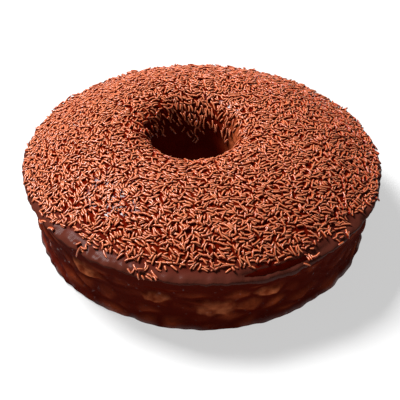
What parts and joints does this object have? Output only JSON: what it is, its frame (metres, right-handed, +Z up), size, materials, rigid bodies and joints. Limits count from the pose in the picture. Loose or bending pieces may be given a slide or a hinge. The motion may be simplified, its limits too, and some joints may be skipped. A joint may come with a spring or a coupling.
{
  "type": "iced ring cake",
  "caption": "Tall chocolate ring cake with a domed top, a coat of icing ending in a ragged lip, sprinkles over it, and a round hole through the middle.",
  "frame": {"origin": "centre of the footprint, on the flat base that the cake stands on", "axes": "+Z up through the hole; -Y is the front, where the icing's fold is to the right"},
  "size_m": [0.2399, 0.2387, 0.0744],
  "materials": {
    "moist_cake": "dark chocolate cake, wet with sauce",
    "chocolate_icing": "satin chocolate icing covered in chocolate sprinkles"
  },
  "bodies": {
    "root": {"cake": "moist_cake", "icing": "chocolate_icing"}
  },
  "joints": []
}
